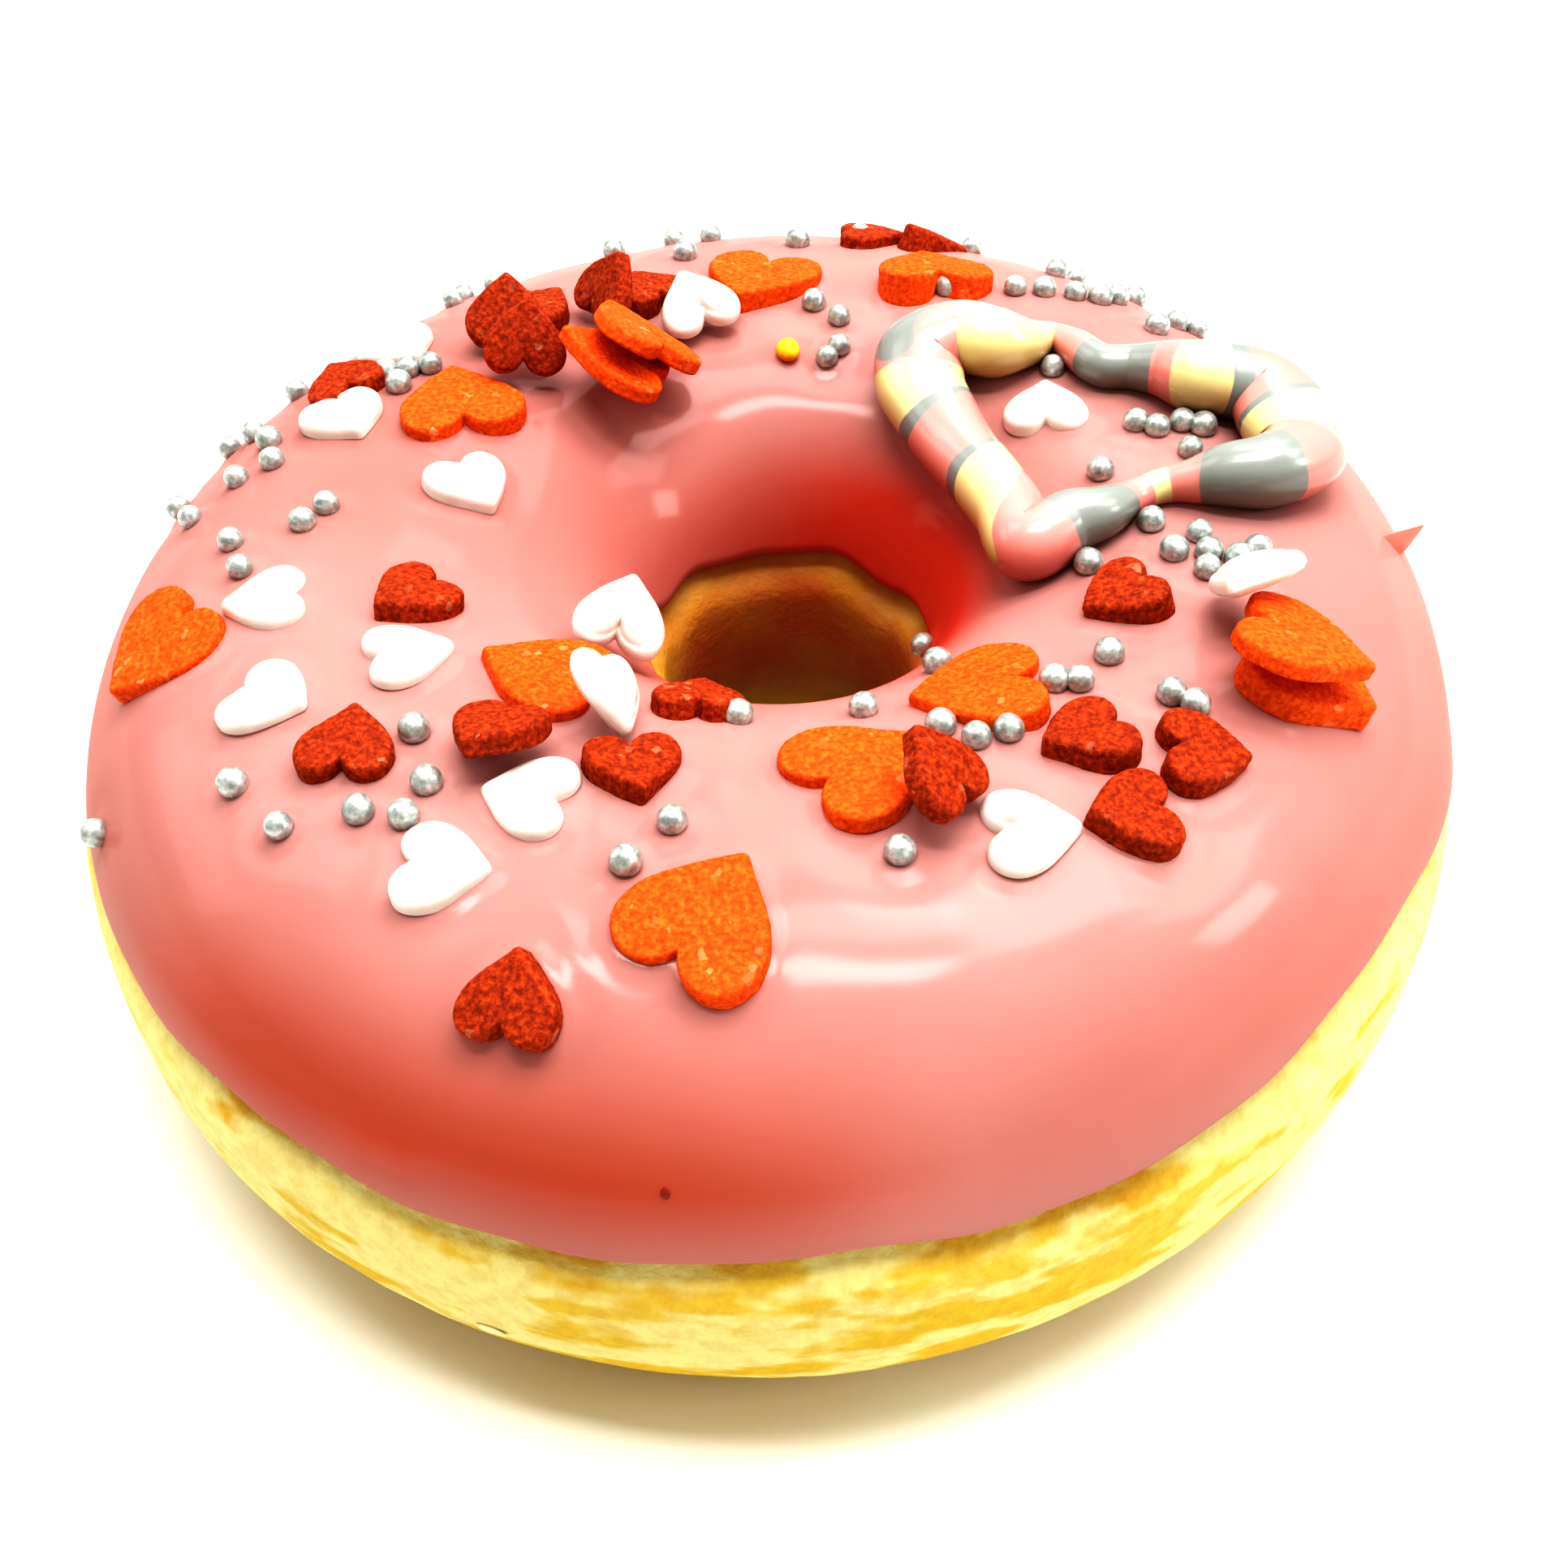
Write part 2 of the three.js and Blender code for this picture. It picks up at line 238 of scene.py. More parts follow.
def nearestMeet(search, pixel):
    # Where the sight line through a pixel, or through the nearest one that does, meets the mesh
    for reach in range(0, aiming["farthest"], aiming["step"]):
        for step in range(aiming["ways"] if reach else 1):
            turn = step * tau / aiming["ways"]
            aim = pixel + Vector((math.cos(turn), math.sin(turn))) * reach
            spot, normal = meets(search, camera["spot"], sightLine(aim))
            if spot:
                return aim, spot, normal


def seatAtPixel(search, pixel, lift):
    # The place lift above a surface whose middle is seen at the pixel, with the surface's normal
    aim, best = Vector(pixel), None
    for _ in range(aiming["rounds"]):
        aim, spot, normal = nearestMeet(search, aim)
        place = spot + normal * lift
        miss = Vector(pixel) - seenAt(place)
        if best is None or miss.length < best[0]:
            best = (miss.length, place, normal)
        aim = aim + miss
    return best[1:]


# The ring's outline and section, in millimetres and degrees
ring = {
    "Ring Radius": 47.0, "Ring Swell": 0.83, "Swell Bearing": 71.0,
    "Hole Radius": 8.6, "Hole Shift": 1.75, "Shift Bearing": 20.0,
    "Waist Height": 14.7, "Top Rise": 18.5, "Top Squareness": 2.35,
    "Under Depth": 15.5, "Under Squareness": 2.45,
}
# Where the icing's lips lie on it, and how deep the icing is
cover = {"Thickness": 1.4, "Lip Thickness": 1.0, "Lip Turn": 14.5, "Hole Lip Turn": 162.0,
         "Full From Turn": 25.0}


def scaled(values):
    # Lengths to metres and bearings and turns to radians, for a tree's inputs
    small = {}
    for name, value in values.items():
        if "Squareness" in name or isinstance(value, int):
            small[name] = value
        elif "Bearing" in name or "Turn" in name:
            small[name] = math.radians(value)
        else:
            small[name] = value * mm
    return small


def ringPlaceTree():
    # A group that gives the ring's surface point and outward direction at a bearing and a turn
    # round its section: turn 0 is the outer waist, a quarter turn is the crest
    tree, add, take = startTree("ringPlace", {
        "Bearing": "Float", "Turn": "Float", **kindsOf(ring)}, {"Place": "Vector", "Out": "Vector"})
    bearing = take["Bearing"]
    swellTurn = add("*", add("-", bearing, take["Swell Bearing"]), 2.0)
    shiftTurn = add("-", bearing, take["Shift Bearing"])
    outer = add("MULTIPLY_ADD", take["Ring Swell"], add("COSINE", swellTurn), take["Ring Radius"])
    inner = add("MULTIPLY_ADD", take["Hole Shift"], add("COSINE", shiftTurn), take["Hole Radius"])
    half = add("*", add("-", outer, inner), 0.5)
    middle = add("*", add("+", outer, inner), 0.5)
    cosine, sine = add("COSINE", take["Turn"]), add("SINE", take["Turn"])
    above = add("GREATER_THAN", sine, 0.0)
    square = add("Mix", above, take["Under Squareness"], take["Top Squareness"])
    rise = add("Mix", above, take["Under Depth"], take["Top Rise"])
    power = add("/", 2.0, square)
    steep = add("-", square, 1.0)
    reaches, leans = [], []
    for wave, size in ((cosine, half), (sine, rise)):
        sign = add("SIGN", wave)
        share = add("POWER", add("ABSOLUTE", wave), power)
        reaches.append(add("*", add("*", sign, share), size))
        leans.append(add("*", sign, add("/", add("POWER", share, steep), size)))
    east, north = add("COSINE", bearing), add("SINE", bearing)
    reach = add("+", middle, reaches[0])
    level = add("+", take["Waist Height"], reaches[1])
    place, out = (add("CombineXYZ", add("*", flat, east), add("*", flat, north), up)
                  for flat, up in ((reach, level), leans))
    add("GroupOutput", place, add("vector NORMALIZE", out))
    return tree


ringPlace = ringPlaceTree()


def placeOnRing(add, take, bearing, turn):
    spot = add("Group", {"Bearing": bearing, "Turn": turn, **{name: take[name] for name in ring}},
               node_tree=ringPlace)
    return spot.outputs["Place"], spot.outputs["Out"]


def waved(add, bearing, level, waves):
    # level plus cosine waves round the ring: height, how many, and where the crest is, in degrees
    for height, cycles, crest in waves:
        turn = add("MULTIPLY_ADD", bearing, float(cycles), -cycles * math.radians(crest))
        level = add("MULTIPLY_ADD", add("COSINE", turn), math.radians(height), level)
    return level


# The icing: a poured sheet from its wavy lip, over the crest and down into the hole
icing = {
    "sizes": {"Lip Round Turn": 3.2, "Lip Rows Turn": 5.0, "Ripple": 0.34, "Ripple Size": 17.0,
              "Seep Rise": 0.2, "Seep Reach": 0.75, "Dimple": 0.16, "Dimple Reach": 2.1,
              "Around": 641, "Rows": 135, "Lip Rows": 9, "Under Rows": 14},
    "lipWaves": [(1.2, 2, -19), (1.5, 3, -38), (0.9, 5, -32), (1.3, 8, 6), (0.35, 17, 20), (0.3, 29, 3)],
    "holeWaves": [(1.4, 2, 60), (1.2, 3, 15), (0.8, 7, 40), (0.5, 11, 10)],
    # humps and hollows of the poured surface: pixel of the middle, reach and height
    "lumps": [((1788, 1000), 6.0, 0.5), ((1700, 900), 9.0, -0.35), ((1480, 1150), 3.2, 0.14),
              ((1560, 1100), 3.0, 0.14), ((1520, 1290), 7.0, -0.25), ((1050, 1290), 10.0, -0.3),
              ((700, 1190), 3.4, 0.12), ((980, 1110), 3.6, 0.12), ((440, 1425), 1.5, 0.25),
              ((490, 1442), 1.4, 0.25), ((620, 1350), 9.0, -0.2)],
}


def startRing(name, sizes, extra={}):
    # A tree that bends a flat grid round the ring, with each point's bearing, its share of the way
    # across the grid, and the turns of the two lips there
    tree, add, take = startTree(name, {
        **kindsOf({**ring, **cover, **sizes}), **extra, "Material": "Material"})
    grid = add("MeshGrid", 1.0, 1.0, take["Around"], take["Rows"])
    flat = add("SeparateXYZ", add("InputPosition")).outputs
    bearing = add("*", add("+", flat["X"], 0.5), tau)
    share = add("+", flat["Y"], 0.5)
    lips = (waved(add, bearing, take["Lip Turn"], icing["lipWaves"]),
            waved(add, bearing, take["Hole Lip Turn"], icing["holeWaves"]))
    return tree, add, take, grid, bearing, share, lips


def icingDepth(add, take, turn, lips):
    # How far a turn is inside the nearer lip, and how deep the icing is there
    edge = add("MINIMUM", add("-", turn, lips[0]), add("-", lips[1], turn))
    full = take["Full From Turn"]
    return edge, add("MapRange", edge, 0.0, full, take["Lip Thickness"], take["Thickness"], **eased)


def icingTree():
    tree, add, take, grid, bearing, share, lips = startRing("pourIcing", icing["sizes"], {
        "Toppings": "Object", "Pearls": "Object"})
    # rows lie closer together near both lips
    lastRow = add("-", take["Rows"], 1.0)
    row = add("*", share, lastRow)
    inside = add("-", lastRow, take["Lip Rows"])
    span = add("-", add("-", lips[1], lips[0]), add("*", take["Lip Rows Turn"], 2.0))
    turn = lips[0]
    for start, end, amount in ((0.0, take["Lip Rows"], take["Lip Rows Turn"]),
                               (take["Lip Rows"], inside, span),
                               (inside, lastRow, take["Lip Rows Turn"])):
        turn = add("MULTIPLY_ADD", add("MapRange", row, start, end), amount, turn)
    place, out = placeOnRing(add, take, bearing, turn)
    edge, full = icingDepth(add, take, turn, lips)
    # a rounded lip: a quarter circle over the first few degrees
    lean = add("MapRange", edge, 0.0, take["Lip Round Turn"], 1.0, 0.0)
    rounding = add("SQRT", add("-", 1.0, add("*", lean, lean)))
    under = pushed(add, place, out, add("*", full, -1.0))
    # slow ripples, then humps and hollows at named places
    rise = unevenness(add, place, take["Ripple Size"], take["Ripple"], 1.0, 0.4)
    cadIcing = treeOf(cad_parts["icing"])
    for pixel, reach, height in icing["lumps"]:
        far = add("vector DISTANCE", place, seatAtPixel(cadIcing, pixel, 0)[0])
        rise = add("MULTIPLY_ADD", bell(add, far, reach * mm), height * mm, rise)
    # the icing creeps up against each topping and sags in a wider ring round it
    for topping in ("Toppings", "Pearls"):
        shown = add("ObjectInfo", {"Object": take[topping]}).outputs["Geometry"]
        near = add("Proximity", {0: shown, "Sample Position": place}, target_element="FACES")
        for reach, height, sign in (("Seep Reach", "Seep Rise", 1.0), ("Dimple Reach", "Dimple", -1.0)):
            creep = bell(add, near.outputs["Distance"], take[reach])
            rise = add("MULTIPLY_ADD", add("*", creep, take[height]), sign, rise)
    top = pushed(add, under, out, add("*", add("+", full, rise), rounding))
    coarse = add("MeshGrid", 1.0, 1.0, take["Around"], take["Under Rows"])
    lower = add("FlipFaces", add("SetPosition", {"Geometry": coarse, "Position": under}))
    sheet = add("JoinGeometry", lower)
    feed(sheet, {0: add("SetPosition", {"Geometry": grid, "Position": top})})
    endTree(add, add("MergeByDistance", {"Geometry": sheet, "Distance": seam}), take)
    return tree


# The dough: the same ring a little smaller under the icing, and full and bare below it
dough = {
    "sizes": {"Under Icing": 0.3, "Bulge": 0.2, "Bulge Turn": 9.0, "Lump": 0.5, "Lump Size": 15.0,
              "Pucker": 0.16, "Pucker Size": 3.0, "Foot Round": 1.2, "Around": 481, "Rows": 191},
}


def doughTree():
    tree, add, take, grid, bearing, share, lips = startRing("riseDough", dough["sizes"])
    turn = add("*", share, tau)
    place, out = placeOnRing(add, take, bearing, turn)
    edge, full = icingDepth(add, take, turn, lips)
    inset = add("*", add("+", full, take["Under Icing"]), -1.0)
    # just below the lip the dough comes out to its full width again
    bare = add("MapRange", edge, 0.0, add("*", take["Bulge Turn"], -1.0), **eased)
    lift = add("Mix", bare, inset, take["Bulge"])
    for bump, detail in (("Lump", 1.0), ("Pucker", 2.0)):
        swell = unevenness(add, place, take[bump + " Size"], take[bump], detail)
        lift = add("MULTIPLY_ADD", swell, bare, lift)
    # the underside is flat where it fried and then lay on the tray
    moved = add("SeparateXYZ", pushed(add, place, out, lift)).outputs
    height = add("SMOOTH_MAX", moved["Z"], 0.0, take["Foot Round"])
    moved = add("CombineXYZ", moved["X"], moved["Y"], height)
    body = add("SetPosition", {"Geometry": grid, "Position": moved})
    endTree(add, add("MergeByDistance", {"Geometry": body, "Distance": seam}), take)
    return tree


# Sugar tablets: pressed hearts of three kinds. Sizes in millimetres. The sugar is the finish's
# name, its dark, middle and light grains, and the share of painted glint on a glinting one
tablets = {
    "orange_heart": {
        "width": 8.7, "length": 8.1, "puff": 0.0, "dome": 0.12, "edge": 0.32, "around": 108,
        "topRings": 30, "sideRings": 9, "sink": 0.5, "seed": 3,
        "sugar": ("orangeSugar", "#cc5210", "#e06418", "#f07c2c", 0.22),
        "sizes": {"Grain": 0.16, "Grain Size": 0.42, "Warp": 0.3, "Warp Size": 3.5}},
    "red_heart": {
        "width": 5.7, "length": 5.3, "puff": 0.0, "dome": 0.1, "edge": 0.42, "around": 88,
        "topRings": 22, "sideRings": 10, "sink": 0.5, "seed": 5,
        "sugar": ("redSugar", "#7e2c08", "#9e3c0e", "#bc561c", 0.14),
        "sizes": {"Grain": 0.15, "Grain Size": 0.42, "Warp": 0.3, "Warp Size": 2.6}},
    "white_heart": {
        "width": 5.9, "length": 5.5, "puff": 0.35, "dome": 0.65, "edge": 0.7, "around": 72,
        "topRings": 18, "sideRings": 9, "sink": 0.5, "seed": 8,
        "sizes": {"Grain": 0.02, "Grain Size": 0.8, "Warp": 0.22, "Warp Size": 3.0}},
}
# What the three kinds share
pressing = {
    "spread": 0.02,  # how far a heart's size strays either way
    "parallel": 0.9995,  # cosine between edges that run the same way
    "level": 0.02,  # depths of a heart that stands on its edge differ by less
    "seedStep": 0.37,  # keeps the kinds' grain apart
    "domePower": 2.6, "wallRows": 8, "curveSteps": 60, "easings": 2,
    "footRise": 0.6,  # of the edge's rounding, where the wall ends
    # half the outline from tip to cleft, as three curves in shares of the length and the width
    "outline": [[(0.5, 0), (0.3, 0.2), (0.08, 0.5), (-0.2, 0.5)],
                [(-0.2, 0.5), (-0.4, 0.5), (-0.5, 0.38), (-0.5, 0.26)],
                [(-0.5, 0.26), (-0.5, 0.13), (-0.42, 0.03), (-0.29, 0)]],
    # rings of the underside: share of the way out to the wall, share inside that, and rise
    "underside": [(0.65, 1.0, 0.18), (0.0, 1.0, 0.0), (0.0, 0.6, 0.0)],
}


def heartLine(width, length, count):
    # Evenly spaced heart outline, its tip towards +X and its cleft towards -X
    fine = []
    for a, b, c, d in np.array(pressing["outline"]) * (length, width):
        for step in range(pressing["curveSteps"]):
            t = step / pressing["curveSteps"]
            fine.append(a * (1 - t) ** 3 + 3 * b * t * (1 - t) ** 2 + 3 * c * t * t * (1 - t) + d * t ** 3)
    half = np.array([*fine, d])
    whole = np.vstack([half, half[-2:0:-1] * (1, -1), half[:1]])
    steps = np.concatenate([[0], np.cumsum(np.linalg.norm(np.diff(whole, axis=0), axis=1))])
    wanted = np.linspace(0, steps[-1], count, endpoint=False)
    line = np.stack([np.interp(wanted, steps, whole[:, axis]) for axis in (0, 1)], axis=1)
    # blunt the tip and ease the cleft, as pressed sugar is
    for _ in range(pressing["easings"]):
        line = (np.roll(line, 1, axis=0) + 2 * line + np.roll(line, -1, axis=0)) / 4
    return line


def tabletMesh(name, look):
    # One heart with its face at height 0. Its wall and underside go down later, by each corner's
    # share of the depth, so the face's dome and rounded edge keep their size
    line = heartLine(look["width"], look["length"], look["around"])
    edge, count = look["edge"], len(line)
    inward = line * (1 - edge / (np.linalg.norm(line, axis=1, keepdims=True)))
    rows = []  # outline, height and share of the depth
    for step in range(1, look["topRings"] + 1):
        share = step / look["topRings"]
        rows.append((inward * share, look["puff"] - look["dome"] * share ** pressing["domePower"], 0.0))
    for step in range(1, look["sideRings"] + 1):
        turn = step / look["sideRings"] * math.pi / 2
        rows.append((inward + (line - inward) * math.sin(turn),
                     look["puff"] - look["dome"] - edge * (1 - math.cos(turn)), 0.0))
    top, foot = rows[-1][1], edge * pressing["footRise"]
    for row in range(1, pressing["wallRows"] + 1):
        share = row / pressing["wallRows"]
        rows.append((line, top * (1 - share) + foot * share, share))
    for out, inside, rise in pressing["underside"]:
        rows.append(((inward * (1 - out) + line * out) * inside, edge * rise, 1.0))
    points, lower = [(0.0, 0.0, look["puff"])], [0.0]
    for outline, height, share in rows:
        points += [(x, y, height) for x, y in outline]
        lower += [share] * count
    points.append((0.0, 0.0, 0.0))
    lower.append(1.0)
    nexts = [(index, (index + 1) % count) for index in range(count)]
    faces = [(0, 1 + index, 1 + after) for index, after in nexts]
    for start in range(1, 1 + (len(rows) - 1) * count, count):
        faces += [(start + index, start + count + index, start + count + after, start + after)
                  for index, after in nexts]
    last = len(points) - 1
    faces += [(last, last - count + after, last - count + index) for index, after in nexts]
    mesh = meshOf(name, np.array(points) * mm, faces)
    store(mesh, "FLOAT", depthShare=lower)
    return mesh


def readTablet(name, sink):
    # Where a heart sits: the middle of its face, its turn, the way down, and its depth. One that
    # lies in the icing sinks into it, and one that stands on its edge does not

    def keyOf(point):
        return tuple(round(part, 6) for part in point)

    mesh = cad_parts[name].data
    corners = {}
    for vertex in mesh.vertices:
        corners.setdefault(keyOf(vertex.co), vertex.co.copy())
    keys = [keyOf(vertex.co) for vertex in mesh.vertices]
    edges = {tuple(sorted((keys[a], keys[b]))) for a, b in (edge.vertices for edge in mesh.edges)}
    edges = [(corners[a], corners[b]) for a, b in edges if a != b]
    # the wall's upright edges are all parallel, so their direction is the commonest one
    directions = np.array([(b - a).normalized() for a, b in edges])
    alike = np.abs(directions @ directions.T) > pressing["parallel"]
    commonest = np.argmax(alike.sum(1))
    facing = Vector(directions[commonest])
    middle = Vector(np.array(list(corners.values())).mean(0))
    core = Vector((middle.x, middle.y, 0)).normalized() * (
        (ring["Ring Radius"] + ring["Hole Radius"]) / 2 * mm)
    core.z = ring["Waist Height"] * mm
    if facing.dot(middle - core) < 0:
        facing = -facing
    wall = [edge for edge, kept in zip(edges, alike[commonest]) if kept]
    rim, foot = ([choose(edge, key=facing.dot) for edge in wall] for choose in (max, min))
    wallKeys = {keyOf(end) for end in (*rim, *foot)}
    loose = [point for key, point in corners.items() if key not in wallKeys]
    face = max(loose, key=facing.dot)
    cleft = min(rim, key=lambda end: ((end - face) - facing * (end - face).dot(facing)).length)
    tip = face - cleft
    tip = (tip - facing * tip.dot(facing)).normalized()
    depths = [(face - end).dot(facing) for end in foot]
    standing = max(depths) - min(depths) < pressing["level"] * mm
    turn = Matrix((tip, facing.cross(tip), facing)).transposed().to_quaternion()
    return face, turn, -facing, max(depths) + (0 if standing else sink * mm)


def tabletTree():
    tree, add, take = startTree("scatterTablets", {
        "Geometry": "Geometry", "Tablet": "Object", **kindsOf(tablets["red_heart"]["sizes"]),
        "Seed": "Float", "Material": "Material"})
    turned, size, depth, share, down = (
        add("InputNamedAttribute", name, data_type=kind) for name, kind in (
            ("turned", "QUATERNION"), ("size", "FLOAT"), ("depth", "FLOAT"), ("depthShare", "FLOAT"),
            ("down", "FLOAT_VECTOR")))
    shape = add("ObjectInfo", {"Object": take["Tablet"]}).outputs["Geometry"]
    real = add("RealizeInstances", add("InstanceOnPoints", {
        "Points": take["Geometry"], "Instance": shape, "Rotation": turned, "Scale": size}))
    # the wall and the underside go down to each heart's own depth
    fall = add("vector SCALE", down, add("*", share, depth))
    deep = add("SetPosition", {"Geometry": real, "Offset": fall})
    # uneven outline and height first, then the coarse sugar grain
    place = add("vector ADD", add("InputPosition"), add("CombineXYZ", take["Seed"]))
    warp = add("TexNoise", place, add("/", 1.0, take["Warp Size"]), 1.0).outputs["Color"]
    bend = add("vector SCALE", add("vector SUBTRACT", warp, (0.5, 0.5, 0.5)), take["Warp"])
    bent = add("SetPosition", {"Geometry": deep, "Offset": bend})
    rough = unevenness(add, add("InputPosition"), take["Grain Size"], take["Grain"], 2.0, 0.6)
    rough = add("vector SCALE", add("InputNormal"), rough)
    endTree(add, add("SetPosition", {"Geometry": bent, "Offset": rough}), take)
    return tree


def scatterTablets(tree, kind):
    look = tablets[kind]
    material = sugarFinish(*look["sugar"]) if "sugar" in look else dextroseFinish()
    names = sorted(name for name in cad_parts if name.startswith(kind))
    shape = bpy.data.objects.new(kind + "Shape", tabletMesh(kind + "Shape", look))
    chance = random.Random(look["seed"])
    points, turns, downs, depths = zip(*(readTablet(name, look["sink"]) for name in names))
    mesh = meshOf(kind + "Points", points, [])
    store(mesh, "QUATERNION", turned=turns)
    store(mesh, "FLOAT", depth=depths,
          size=[1 + chance.uniform(-pressing["spread"], pressing["spread"]) for _ in names])
    store(mesh, "FLOAT_VECTOR", down=downs)
    piece = growPiece(kind + "s", tree, {
        **scaled(look["sizes"]), "Tablet": shape, "Seed": look["seed"] * pressing["seedStep"],
        "Material": material}, mesh)
    bpy.data.objects.remove(shape)
    keepPiece(piece, names)
    return piece


# The candy ring: a rope pulled into a heart, lying on the icing
candy = {
    # its middle line from the tip round to it again: the pixel it is seen at, and half the width
    "knots": [((1269, 672), 2.3), ((1319, 643), 2.05), ((1358, 631), 1.7), ((1396, 612), 1.15),
              ((1435, 598), 1.15), ((1473, 592), 1.5), ((1512, 585), 2.05), ((1562, 580), 2.4),
              ((1604, 557), 2.9), ((1588, 518), 3.35), ((1558, 480), 3.0), ((1515, 468), 2.75),
              ((1473, 463), 2.45), ((1435, 455), 1.95), ((1396, 452), 1.55), ((1358, 450), 1.5),
              ((1325, 429), 1.35), ((1296, 415), 1.05), ((1265, 422), 1.7), ((1227, 422), 2.5),
              ((1183, 415), 2.9), ((1138, 432), 3.1), ((1134, 473), 3.15), ((1154, 512), 2.9),
              ((1181, 553), 2.6), ((1212, 592), 2.4), ((1242, 628), 2.35)],
    "sizes": {"Half Height": 2.4, "Dent": 0.16, "Dent Size": 5.0, "Stations": 460, "Sides": 44},
    "sunk": 0.3, "knotSteps": 18, "leastGap": 1e-4,
    # stripes from the tip round to it again: colour, how far along each ends, and how much
    # farther it reaches on the heart's outside
    "stripes": [("pink", 2.2, 0.0), ("grey", 7.0, 0.5), ("pink", 9.2, 0.0), ("cream", 10.6, 0.0),
                ("pink", 12.9, -0.35), ("grey", 17.8, 0.0), ("pink", 20.3, 0.0), ("cream", 24.8, 0.3),
                ("pink", 30.6, 0.5), ("cream", 33.7, 0.3), ("pink", 35.7, 0.0), ("grey", 40.9, 0.2),
                ("pink", 44.6, 0.4), ("cream", 52.3, 0.6), ("pink", 57.6, -0.2), ("cream", 61.3, 0.6),
                ("pink", 67.3, 0.8), ("cream", 73.2, 3.9), ("pink", 77.3, 0.0)],
    # grey threads over them: how far along from the tip, the width outside and inside the heart,
    # and how much farther the outside is
    "threads": [(24.8, 0.8, 0.5, 0.3), (30.6, 0.7, 1.7, 0.5), (61.3, 1.2, 0.3, 0.6),
                (67.3, 1.3, 0.35, 0.8)],
    # grey patches: how far along and out, and half the length and the width of each
    "patches": [(55.6, 0.55, 1.7, 0.5), (49.0, 0.42, 3.2, 0.13)],
    "wobble": 0.8,  # how far the stripes' edges stray, in millimetres
    "blur": 0.05,  # each way, in millimetres
    "pink": "#e29a93", "cream": "#e2dba4", "grey": "#8f9692",
}


def throughKnots(four, share):
    # A point between the middle two of four knots, on an even smooth curve through them
    times = [0.0]
    for start, end in zip(four, four[1:]):
        times.append(times[-1] + max(np.linalg.norm(end - start) ** 0.5, candy["leastGap"]))
    before, here, there, beyond = times
    now = here + (there - here) * share
    for spans in (((before, here), (here, there), (there, beyond)),
                  ((before, there), (here, beyond)), ((here, there),)):
        four = [(a * (end - now) + b * (now - start)) / (end - start)
                for a, b, (start, end) in zip(four, four[1:], spans)]
    return four[0]


def candyLine(search):
    # The rope's middle line, closed, with its half width, in millimetres
    knots, steps = [], candy["knotSteps"]
    for pixel, half in candy["knots"]:
        lift = min(half, candy["sizes"]["Half Height"]) - candy["sunk"]
        knots.append(np.array([*(seatAtPixel(search, pixel, lift * mm)[0] / mm), half]))
    count = len(knots)
    return np.array([throughKnots([knots[(place + step) % count] for step in (-1, 0, 1, 2)], part / steps)
                     for place in range(count) for part in range(steps)])


def candyTree():
    tree, add, take = startTree("pullCandy", {
        "Geometry": "Geometry", **kindsOf(candy["sizes"]), "Material": "Material"})
    even = add("ResampleCurve", {
        "Curve": add("MeshToCurve", take["Geometry"]), "Count": take["Stations"]})
    kept = add("CaptureAttribute", add("SetCurveNormal", even, mode="Z_UP"))
    kept.capture_items.new("FLOAT", "width")
    kept.capture_items.new("VECTOR", "middle")
    place, normal = add("InputPosition"), add("InputNormal")
    feed(kept, {"middle": place, "width": add("InputNamedAttribute", "halfWidth", data_type="FLOAT")})
    middle, width = kept.outputs["middle"], kept.outputs["width"]
    section = add("CurvePrimitiveCircle", take["Sides"], 1.0)
    rope = add("CurveToMesh", kept.outputs["Geometry"], section, width)
    # how far each point faces away from the heart's inside and how far up, for stripes and painted shade
    outward = add("InputNamedAttribute", "outward", data_type="FLOAT_VECTOR")
    up = add("SeparateXYZ", normal).outputs["Z"]
    facing = add("CombineXYZ", add("vector DOT_PRODUCT", normal, outward), up)
    rope = add("StoreNamedAttribute", {"Geometry": rope, "Name": "facing", "Value": facing},
               data_type="FLOAT_VECTOR", domain="POINT")
    # the wide parts are flattened, and the rope is a little uneven by hand
    height = add("SeparateXYZ", add("vector SUBTRACT", place, middle)).outputs["Z"]
    squash = add("MINIMUM", add("/", take["Half Height"], width), 1.0)
    shift = add("*", height, add("-", squash, 1.0))
    dent = unevenness(add, place, take["Dent Size"], take["Dent"], 1.0)
    dent = pushed(add, add("CombineXYZ", {"Z": shift}), normal, dent)
    endTree(add, add("SetPosition", {"Geometry": rope, "Offset": dent}), take)
    return tree


def makeCandy(search, material):
    line = candyLine(search)
    count = len(line)
    mesh = meshOf("candyLine", line[:, :3] * mm, [])
    mesh.edges.add(count)
    mesh.edges.foreach_set("vertices", [end for step in range(count) for end in (step, (step + 1) % count)])
    # the share of the way round, as a cosine and a sine so that it closes without a seam
    lengths = np.linalg.norm(np.roll(line, -1, axis=0)[:, :3] - line[:, :3], axis=1)
    share = (np.cumsum(lengths) - lengths) / lengths.sum() * tau
    ahead = np.roll(line, -1, axis=0) - np.roll(line, 1, axis=0)
    outward = np.stack([ahead[:, 1], -ahead[:, 0], 0 * share], axis=1)
    outward /= np.linalg.norm(outward, axis=1, keepdims=True)
    around = np.stack([np.cos(share), np.sin(share), 0 * share], axis=1)
    store(mesh, "FLOAT", halfWidth=line[:, 3] * mm)
    store(mesh, "FLOAT_VECTOR", outward=outward, around=around)
    piece = growPiece("candy_heart_ring", candyTree(), {
        **scaled(candy["sizes"]), "Material": material}, mesh)
    keepPiece(piece, ["candy_heart"])
    return piece


